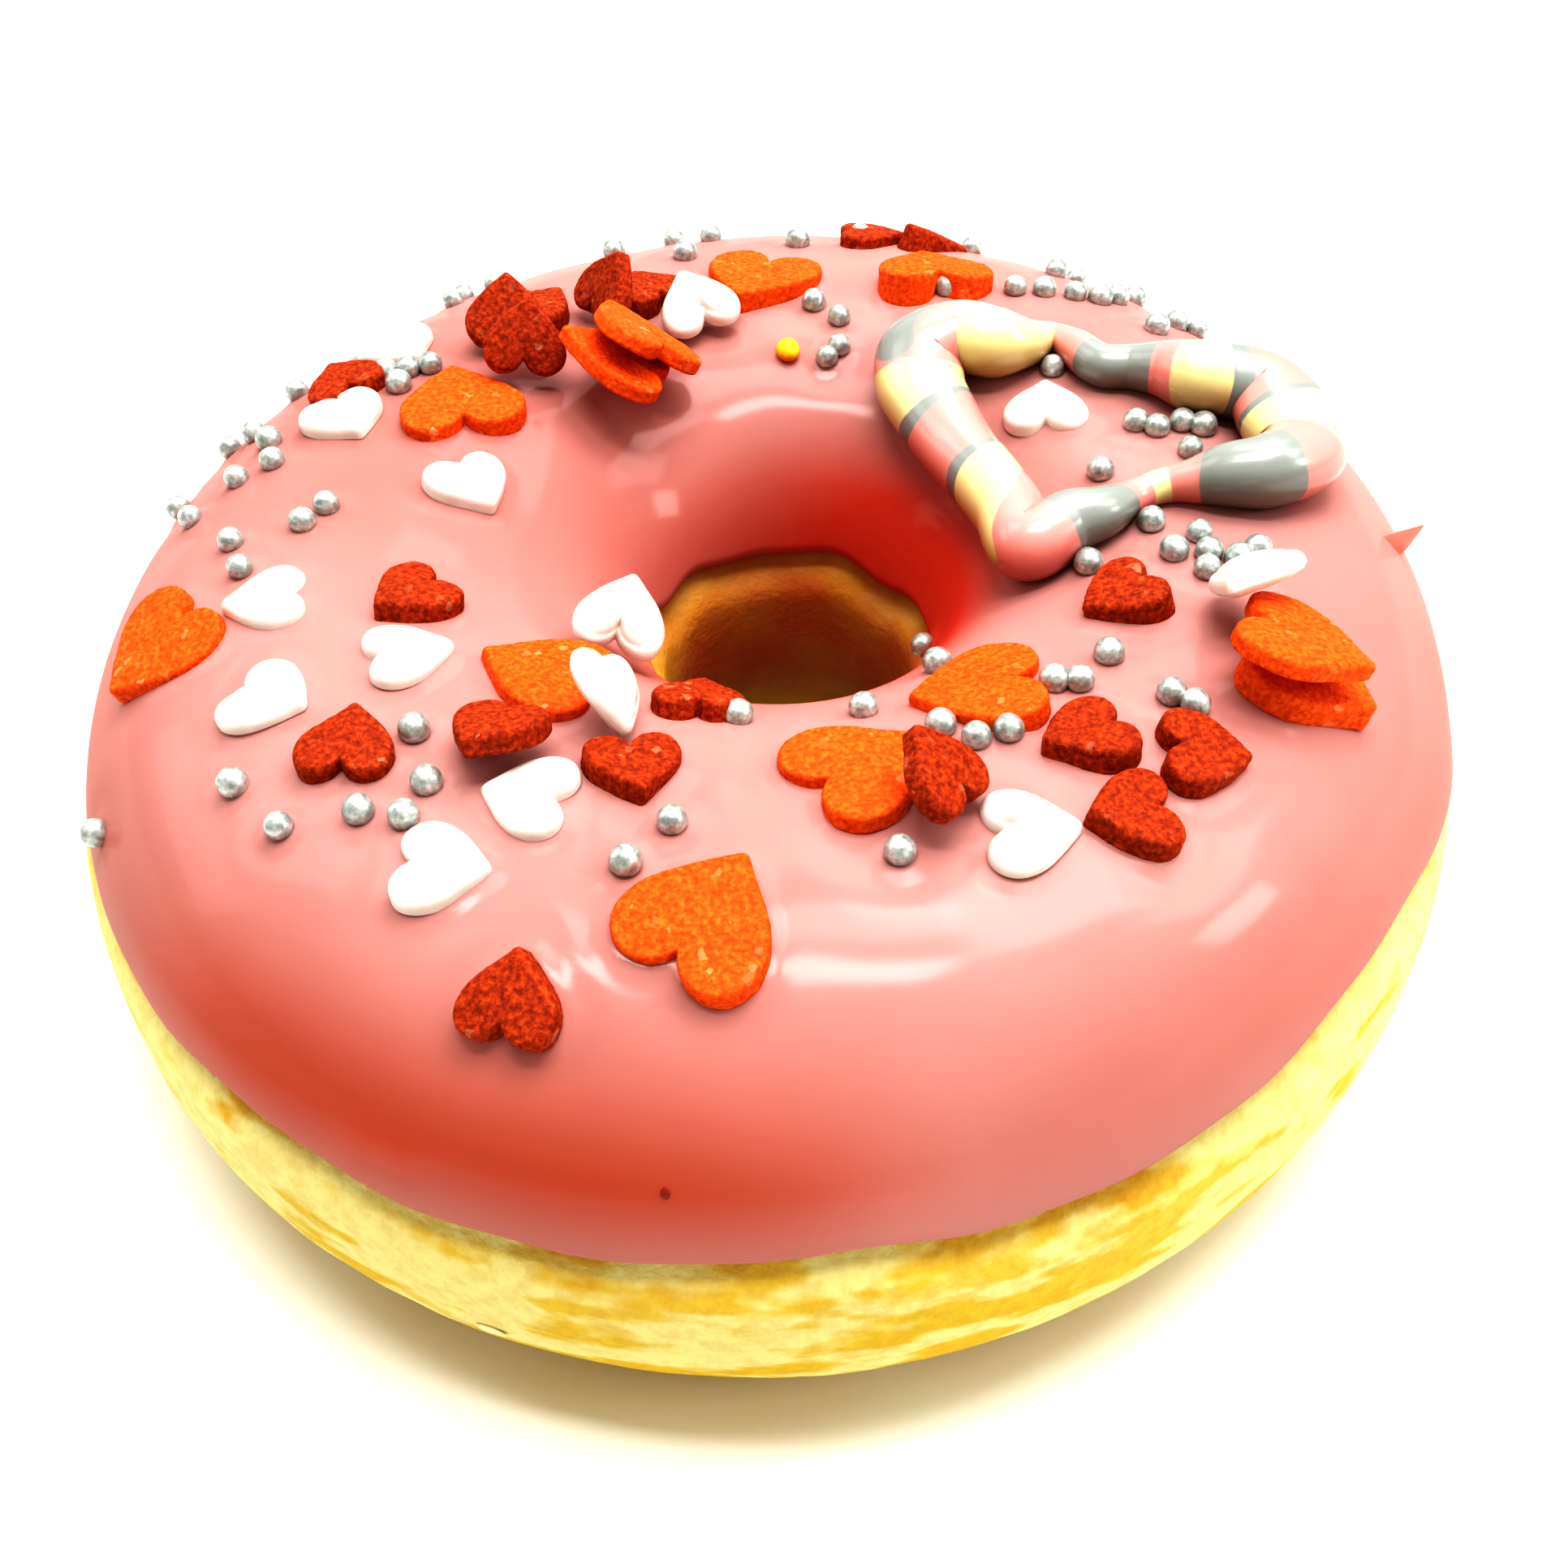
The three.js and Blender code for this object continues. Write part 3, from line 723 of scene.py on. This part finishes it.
# Silvered sugar pearls, by the pixel where each one's middle is seen
pearls = {
    "sizes": {"Size": 1.9, "Dent": 0.05, "Dent Size": 0.7}, "spread": 0.14, "sunk": 0.32, "seed": 11,
    "fineness": 4,
    "front": [(1109, 1047), (828, 1010), (771, 1060), (510, 897), (525, 961), (441, 997), (497, 1003),
              (343, 1017), (286, 964), (117, 1026), (910, 879), (1064, 870), (1111, 797), (1155, 815),
              (1159, 891), (1203, 906), (1243, 897), (1299, 836), (1331, 836), (1367, 803),
              (1444, 852), (1473, 866)],
    "left": [(372, 641), (402, 620), (284, 665), (295, 698), (216, 625), (234, 637), (291, 588),
             (335, 566), (276, 545), (313, 533), (331, 541), (362, 482), (476, 457), (503, 453),
             (491, 471), (530, 448), (555, 369)],
    "back": [(753, 303), (844, 310), (873, 288), (983, 295), (1060, 288), (1003, 370), (1034, 389),
             (1034, 425), (1019, 439), (1167, 353), (1251, 353), (1287, 355), (1325, 360), (1356, 365),
             (1376, 365), (1426, 401), (1450, 396), (1478, 399)],
    "right": [(1297, 451), (1400, 518), (1426, 525), (1457, 518), (1483, 523), (1467, 552),
              (1356, 578), (1419, 640), (1447, 676), (1478, 655), (1490, 678), (1488, 699),
              (1527, 686), (1550, 675), (1341, 692)],
    # more on the far slope: how many are tried, and the span of bearings and turns they fall in
    "farCount": 16, "farBearings": (42, 168), "farTurns": (34, 62),
}


def pearlTree():
    tree, add, take = startTree("scatterPearls", {
        "Geometry": "Geometry", **kindsOf(pearls["sizes"]), "Spread": "Float", "Seed": "Int",
        "Material": "Material"})
    ball = add("MeshIcoSphere", add("*", take["Size"], 0.5), pearls["fineness"])
    least = add("-", 1.0, take["Spread"])
    chance = add("RandomValue", {"Min": least, "Max": 1.0, "Seed": take["Seed"]}, data_type="FLOAT")
    real = add("RealizeInstances", add("InstanceOnPoints", {
        "Points": take["Geometry"], "Instance": ball, "Scale": chance}))
    dent = unevenness(add, add("InputPosition"), take["Dent Size"], take["Dent"], 1.0)
    dent = add("vector SCALE", add("InputNormal"), dent)
    endTree(add, add("SetPosition", {"Geometry": real, "Offset": dent}), take)
    return tree


def ringSpot(search, bearing, turn, lift):
    # A place lift above the icing at a bearing and a turn round the section, in degrees
    bearing, turn = math.radians(bearing), math.radians(turn)
    middle = (ring["Ring Radius"] + ring["Hole Radius"]) / 2 * mm
    flat = Vector((math.cos(bearing), math.sin(bearing), 0))
    core = flat * middle + Vector((0, 0, ring["Waist Height"] * mm))
    out = flat * math.cos(turn) + Vector((0, 0, math.sin(turn)))
    wellOutside = 60 * mm
    spot, normal = meets(search, core + out * wellOutside, -out)
    return spot + normal * lift


def makePearls(search, material):
    size = pearls["sizes"]["Size"] * mm
    lift = size * (0.5 - pearls["sunk"])
    points = [seatAtPixel(search, pixel, lift)[0]
              for side in ("front", "left", "back", "right") for pixel in pearls[side]]
    chance = random.Random(pearls["seed"])
    for _ in range(pearls["farCount"]):
        bearing, turn = chance.uniform(*pearls["farBearings"]), chance.uniform(*pearls["farTurns"])
        spot = ringSpot(search, bearing, turn, lift)
        if all((spot - other).length > size for other in points):
            points.append(spot)
    piece = growPiece("sugar_pearls", pearlTree(), {
        **scaled(pearls["sizes"]), "Spread": pearls["spread"], "Seed": pearls["seed"],
        "Material": material}, meshOf("pearlPoints", points, []))
    keepPiece(piece, [])
    return piece


# Small crumbs: the pixel each is seen at, size in three directions with the height last, how far
# it stands out, its unevenness, how much it narrows towards its top, the slot, and the finish: its
# name, the colours of the crumb's foot, a darker painted shade, and of its top, and the roughness
crumbs = {
    "yolk_bit": ((971, 430), (1.0, 0.85, 0.75), 0.5, 0.16, 0.1, "orange_heart",
                 ("candiedYolk", "#ee7a1c", "#f4d935", 0.5)),
    "icing_speck": ((820, 1470), (0.32, 0.24, 0.12), 0.0, 0.3, 0.0, "red_heart",
                    ("toastedSugar", "#7a2010", "#8c2a14", 0.5)),
    "icing_flap": ((1718, 670), (1.7, 0.4, 2.1), 0.1, 0.2, 0.75, "icing",
                   ("brokenFondant", "#ef8a7a", "#f3a093", 0.4)),
    "dough_crumb": ((607, 1639), (0.28, 0.95, 0.16), 0.1, 0.35, 0.0, "dough",
                    ("dryCrumb", "#f0d98a", "#f6ebc4", 0.8)),
}
crumbling = {"fineness": 4, "seed": 5, "bumps": 14}


def makeCrumb(name, search):
    pixel, sizes, lift, rough, taper, slot, finish = crumbs[name]
    place, normal = seatAtPixel(search, pixel, lift * mm)
    shape = bmesh.new()
    bmesh.ops.create_icosphere(shape, subdivisions=crumbling["fineness"], radius=1.0)
    chance = random.Random(crumbling["seed"])
    bumps = [(Vector([chance.gauss(0, 1) for _ in range(3)]).normalized(), chance.uniform(-1, 1))
             for _ in range(crumbling["bumps"])]
    turn = normal.to_track_quat("Z", "X").to_matrix()
    heights = []
    for vertex in shape.verts:
        swell = sum(height * max(0.0, vertex.co.dot(way)) ** 3 for way, height in bumps)
        vertex.co *= 1 + rough * swell
        narrow = 1 - taper * (vertex.co.z + 1) / 2
        local = (vertex.co.x * narrow, vertex.co.y * narrow, vertex.co.z)
        vertex.co = place + turn @ Vector([part * size * mm for part, size in zip(local, sizes)])
        heights.append((vertex.co - place).z / mm)
    mesh = bpy.data.meshes.new(name)
    shape.to_mesh(mesh)
    shape.free()
    # each corner's height, which sets the painted shade at the crumb's foot
    store(mesh, "FLOAT", rise=heights)
    mesh.shade_smooth()
    mesh.materials.append(crumbFinish(*finish))
    keepPiece(addObject(name, mesh), [])


def startFinish(name):
    # A material, what adds a node to it, and the place on the piece
    material = bpy.data.materials.new(name)
    material.use_nodes = True
    add = partial(addNode, material.node_tree)
    return material, add, add("TexCoord").outputs["Object"]


def endFinish(material, colour, relief, strength, depth, **sockets):
    # Joins the colour and a fine relief to the shader, and sets its sockets. Depth in millimetres
    bump = addNode(material.node_tree, "Bump", {
        "Height": relief, "Strength": strength, "Distance": depth * mm})
    feed(material.node_tree.nodes["Principled BSDF"], {
        "Base Color": colour, "Normal": bump,
        **{name.replace("_", " "): value for name, value in sockets.items()}})
    return material


def layered(add, colour, *layers):
    # Lays tones over a colour, each by its share, and some as a stain that darkens
    for share, tone, *stain in layers:
        colour = add("Mix", share, colour, tone, data_type="RGBA", blend_type=stain[0] if stain else "MIX")
    return colour


def fondantFinish():
    # Poured fondant icing: sugar syrup set to a smooth skin. A soft wide gloss, a little light
    # bleeding through, and painted shade: deeper tones in the hole, left of the crest and low down
    material, add, place = startFinish("pouredFondant")
    height = add("SeparateXYZ", place).outputs["Z"]
    flat = add("vector MULTIPLY", place, (1.0, 1.0, 0.0))
    colour = add("ValToRGB", add("TexNoise", place, 1 / (14 * mm)),
                 stops=[(0.3, "#b88984"), (0.7, "#bf918c")])
    # painted shade in the hole: a deeper red round a point a little east of its middle, below the crest
    reach = add("vector DISTANCE", flat, (6 * mm, 1 * mm, 0.0))
    holeShade = add("*", add("MapRange", reach, 9.5 * mm, 15.5 * mm, 0.88, 0.0),
                 add("MapRange", height, 26.5 * mm, 31 * mm, 1.0, 0.0))
    # painted shade: a little deeper on the left of the crest
    crest = add("vector DISTANCE", place, (-19 * mm, 12 * mm, 31 * mm))
    crest = add("MapRange", crest, 8 * mm, 25 * mm, 0.5, 0.0, **eased)
    # painted shade: deeper low down, most on the front left, and less of it on the lip, as painted light
    # from the floor below
    way = add("vector DOT_PRODUCT", add("vector NORMALIZE", flat), (-0.39, -0.92, 0.0))
    share = add("MapRange", way, 0.80, 0.98, 0.26, 0.8, **eased)
    lowShade = add("MapRange", height, 24 * mm, 32.5 * mm, 1.0, 0.0, **eased)
    lip = add("MapRange", height, 20.5 * mm, 24 * mm, 0.3, 1.0)
    lowShade = add("*", add("*", lowShade, lip), share)
    colour = layered(add, colour, (holeShade, "#c83e2a"), (crest, "#ad736b"), (lowShade, "#b24824"))
    ripple = add("TexNoise", place, 1 / (3 * mm))
    return endFinish(material, colour, ripple, 0.06, 0.6, Roughness=0.5, IOR=1.4, Specular_IOR_Level=0.0,
                     Subsurface_Weight=0.06, Subsurface_Scale=0.001, Subsurface_Radius=(1.0, 0.35, 0.25),
                     Coat_Weight=0.16, Coat_Roughness=0.14, Coat_IOR=1.9)


def doughFinish():
    # Fried yeast dough: pale where it floated above the oil, golden brown where it lay in it,
    # with a matt, finely pored skin. Painted shade darkens the hole's wall and the band under the
    # icing's lip, and painted light pales the right side
    material, add, place = startFinish("friedDough")
    parts = add("SeparateXYZ", place).outputs
    patches = add("TexNoise", place, 1 / (11 * mm))
    level = add("MULTIPLY_ADD", patches, 11 * mm, parts["Z"])
    # the last stop, darker just under the icing's lip, is painted shade; the rest is the fried crust's own
    # colour
    crustAndLipShade = add("ValToRGB", add("MapRange", level, 2 * mm, 26 * mm), stops=[
        (0.0, "#ca8a10"), (0.2, "#d2a812"), (0.45, "#d2b41c"), (0.7, "#d2b838"), (0.9, "#d4bc54"),
        (1.0, "#c8a43c")])
    # cream streaks run lengthwise round the ring: fewer of them low down, and more on the right,
    # as painted light that pales the lit right side
    drawnOut = add("vector MULTIPLY", place, (1.0, 1.0, 2.6))
    rarerLowPaintedLightRight = add("-", add("MapRange", parts["Z"], 3 * mm, 12 * mm, 0.1, -0.035),
                add("MapRange", parts["X"], 15 * mm, 40 * mm, 0.0, 0.06))
    streak = add("-", add("TexNoise", drawnOut, 1 / (8 * mm), 3.0), rarerLowPaintedLightRight)
    streak = add("MapRange", streak, 0.45, 0.54, 0.0, 0.9)
    flecks = add("ValToRGB", add("TexNoise", place, 1 / (1.3 * mm), 3.0, 0.65),
                 stops=[(0.38, "#e0b040"), (0.58, "#ffffff")])
    # painted shade: the hole's wall darker than the outside
    reach = add("vector LENGTH", add("vector MULTIPLY", place, (1.0, 1.0, 0.0)))
    reach = add("MULTIPLY_ADD", patches, 6 * mm, reach)
    holeShadeTone = add("ValToRGB", patches, stops=[(0.38, "#b86a34"), (0.62, "#c8a044")])
    colour = layered(add, crustAndLipShade, (streak, "#dcd69c"), (0.22, flecks, "MULTIPLY"),
                     (add("MapRange", reach, 12 * mm, 24 * mm, 0.95, 0.0), holeShadeTone))
    pores = add("TexNoise", place, 1 / (0.7 * mm), 3.0, 0.6)
    return endFinish(material, colour, pores, 0.35, 0.4, Roughness=0.62, IOR=1.4,
                     Subsurface_Weight=0.12, Subsurface_Scale=0.001, Subsurface_Radius=(1.0, 0.6, 0.25))


def sugarFinish(name, dark, middle, light, paintedGlintShare):
    # Pressed coloured sugar: matt grains that differ in tone, some with a painted glint, pale and smoother
    material, add, place = startFinish(name)
    grain = add("TexNoise", place, 1 / (0.34 * mm), 2.0, 0.6)
    tone = add("ValToRGB", grain, stops=[(0.32, dark), (0.5, middle), (0.7, light)])
    cells = add("TexVoronoi", place, 1 / (0.5 * mm)).outputs["Color"]
    paintedGlint = add("MapRange", cells, 0.86, 0.95, 0.0, paintedGlintShare)
    return endFinish(material, layered(add, tone, (paintedGlint, "#fff0c8")), grain, 0.5, 0.15,
                     Roughness=add("MapRange", paintedGlint, 0.0, paintedGlintShare, 0.72, 0.3), IOR=1.5,
                     Specular_IOR_Level=0.3, Subsurface_Weight=0.08, Subsurface_Scale=0.0006)


def dextroseFinish():
    # Pressed white dextrose: fine powder polished smooth by the die, chalky white
    material, add, place = startFinish("pressedDextrose")
    tone = add("ValToRGB", add("TexNoise", place, 1 / (1.6 * mm)),
               stops=[(0.3, "#e2ded6"), (0.7, "#eeece8")])
    return endFinish(material, tone, add("TexNoise", place, 1 / (0.3 * mm)), 0.12, 0.1,
                     Roughness=0.42, IOR=1.5, Subsurface_Weight=0.15, Subsurface_Scale=0.0008)


def pearlFinish():
    # Silvered sugar pearls: a thin worn metal leaf over white sugar, satin rather than mirror
    material, add, place = startFinish("silveredSugar")
    worn = add("TexNoise", place, 1 / (0.45 * mm), 2.0, 0.6)
    tone = add("ValToRGB", worn, stops=[(0.35, "#a2aaa7"), (0.55, "#c2c9c6"), (0.7, "#dadfdc")])
    return endFinish(material, tone, worn, 0.3, 0.1, Metallic=0.55, Roughness=0.38)


def candyFinish():
    # Pulled sugar candy: coloured stripes kneaded into one rope, with a satin gloss. Painted shade
    # makes the colours deeper down the sides and along the foot, and a painted sheen pales the top
    material, add, place = startFinish("pulledSugar")
    around, facing = (add("SeparateXYZ", add("Attribute", attribute_name=name).outputs["Vector"]).outputs
                      for name in ("around", "facing"))
    outer, up, blur = facing["X"], facing["Y"], candy["blur"]
    along = add("FRACT", add("/", add("ARCTAN2", around["Y"], around["X"]), tau))
    along = add("*", along, candy["stripes"][-1][1])
    wobble = add("-", add("TexNoise", place, 1 / (4 * mm), 1.0), 0.5)
    along = add("MULTIPLY_ADD", wobble, candy["wobble"], along)
    colour = candy[candy["stripes"][0][0]]
    for (_, end, slant), (tone, _, _) in zip(candy["stripes"], candy["stripes"][1:]):
        past = add("-", along, add("MULTIPLY_ADD", outer, slant, end))
        colour = layered(add, colour, (add("MapRange", past, -blur, blur), candy[tone]))
    marks = 0.0
    for middle, outside, inside, slant in candy["threads"]:
        far = add("ABSOLUTE", add("-", along, add("MULTIPLY_ADD", outer, slant, middle)))
        half = add("MapRange", outer, -1.0, 1.0, inside / 2, outside / 2)
        mark = add("MapRange", add("-", half, far), -blur, blur)
        marks = add("MAXIMUM", marks, mark)
    for middle, side, half, width in candy["patches"]:
        ends = []
        for value, centre, reach in ((along, middle, half), (outer, side, width)):
            far = add("ABSOLUTE", add("-", value, centre))
            ends.append(add("POWER", add("/", far, reach), 2.0))
        marks = add("MAXIMUM", marks, add("MapRange", add("+", *ends), 1.1, 0.85))
    # a painted sheen pales the top, and painted shade deepens the colour down the sides
    paintedTopSheen = add("MapRange", up, 0.45, 0.7, 0.0, 0.05, **eased)
    side = add("MapRange", up, -0.3, 0.55, 0.75, 0.0)
    colour = layered(add, colour, (marks, candy["grey"]), (paintedTopSheen, "#fbfaf4"),
                     (side, "#b98d78", "MULTIPLY"))
    pull = add("TexNoise", place, 1 / (0.8 * mm))
    return endFinish(material, colour, pull, 0.08, 0.2, Roughness=0.34, IOR=1.5, Subsurface_Weight=0.1,
                     Subsurface_Scale=0.0006, Coat_Weight=0.5, Coat_Roughness=0.16)


def crumbFinish(name, lowShade, high, roughness):
    # Small crumbs: candied yolk, toasted sugar, a tag of icing or dry dough, each nearly matt. The
    # colour changes from the crumb's foot to its top, darker at the foot as painted shade
    material, add, place = startFinish(name)
    grain = add("TexNoise", place, 1 / (0.5 * mm))
    rise = add("Attribute", attribute_name="rise").outputs["Fac"]
    # painted shade: darker towards the foot
    level = add("MULTIPLY_ADD", add("-", grain, 0.5), 0.6, rise)
    tone = add("ValToRGB", add("MapRange", level, -0.45, 0.15), stops=[(0.0, lowShade), (1.0, high)])
    return endFinish(material, tone, grain, 0.3, 0.1, Roughness=roughness, Subsurface_Weight=0.1,
                     Subsurface_Scale=0.0005)


def makeStage():
    # Matt white paper under the doughnut
    paper = bpy.data.materials.new("mattPaper")
    paper.use_nodes = True
    feed(paper.node_tree.nodes["Principled BSDF"], {
        "Base Color": "#f0f2ef", "Roughness": 0.9, "Specular IOR Level": 0.2})
    half, level = 8.0, -0.1 * mm
    floor = addObject("floor", meshOf("floor", [
        (-half, -half, level), (half, -half, level), (half, half, level), (-half, half, level)],
        [(0, 1, 2, 3)]))
    floor.data.materials.append(paper)


# Lamps, a metre away: the azimuth and height each shines from, width, depth, and power in watts
lamps = {
    "strip": (258, 84, 0.60, 0.12, 3.4),
    "overhead": (25, 66, 0.50, 0.36, 3.1),
    "top": (90, 80, 0.50, 0.26, 1.9),
    "back": (75, 50, 0.60, 0.40, 1.9),
    "farBack": (95, 25, 0.80, 0.40, 0.45),
    "left": (150, 45, 0.50, 0.36, 1.1),
    "leftLow": (165, 20, 0.50, 0.30, 0.61),
    "window": (348, 27, 0.24, 0.24, 1.4),
    "windowHigh": (5, 46, 0.40, 0.26, 1.20),
}
lampDistance = 1.0
sky = {"colour": "#fff6ea", "strength": 0.4, "backdrop": "#ffffff"}
view = {"view_transform": "Standard", "look": "Very High Contrast", "exposure": 0.0, "gamma": 0.88}


def makeLamps():
    target = Vector((0, 0, 20)) * mm
    for name, (azimuth, height, width, depth, power) in lamps.items():
        data = bpy.data.lights.new(name, "AREA")
        data.shape, data.size, data.size_y = "RECTANGLE", width, depth
        data.energy = power
        azimuth, height = math.radians(azimuth), math.radians(height)
        way = Vector((math.cos(azimuth) * math.cos(height), math.sin(azimuth) * math.cos(height),
                      math.sin(height)))
        turned = way.to_track_quat("Z", "Y").to_matrix().to_4x4()
        addObject(name, data).matrix_world = Matrix.Translation(target + way * lampDistance) @ turned
    world = bpy.data.worlds.new("room")
    world.use_nodes = True
    add = partial(addNode, world.node_tree)
    room = world.node_tree.nodes["Background"]
    feed(room, {"Color": sky["colour"], "Strength": sky["strength"]})
    # the camera sees a plain pale backdrop beyond the floor
    both = add("MixShader", add("LightPath").outputs["Is Camera Ray"], room,
               add("Background", {"Color": sky["backdrop"]}))
    feed(world.node_tree.nodes["World Output"], {"Surface": both})
    bpy.context.scene.world = world
    for name, value in view.items():
        setattr(bpy.context.scene.view_settings, name, value)


def joined(pieces):
    # Pieces as one temporary object, for measuring distances to all of them
    shape = bmesh.new()
    for piece in pieces:
        shape.from_mesh(piece.data)
    mesh = bpy.data.meshes.new("toppings")
    shape.to_mesh(mesh)
    shape.free()
    return bpy.data.objects.new("toppings", mesh)


makeCamera()
print("placing the sugar hearts")
scatter = tabletTree()
hearts = [scatterTablets(scatter, kind) for kind in tablets]
print("pouring the icing")
pour = icingTree()
icingValues = {**scaled({**ring, **cover, **icing["sizes"]}), "Material": fondantFinish()}
bare = growPiece("bareIcing", pour, icingValues)
bareSearch = treeOf(bare)
print("pulling the candy ring")
candyRing = makeCandy(bareSearch, candyFinish())
print("placing the pearls")
pearlPiece = makePearls(bareSearch, pearlFinish())
print("pouring the icing round the toppings")
toppings = joined([*hearts, candyRing])
shell = growPiece("icing_shell", pour, {**icingValues, "Toppings": toppings, "Pearls": pearlPiece})
for spare in (bare, toppings):
    bpy.data.objects.remove(spare)
keepPiece(shell, ["icing"])

print("raising the dough")
body = growPiece("dough_ring", doughTree(), {
    **scaled({**ring, **cover, **dough["sizes"]}), "Material": doughFinish()})
keepPiece(body, ["dough"])

print("adding crumbs")
searches = {"icing": treeOf(shell), "dough": treeOf(body)}
for crumb in crumbs:
    makeCrumb(crumb, searches["dough" if crumb == "dough_crumb" else "icing"])

makeStage()
makeLamps()
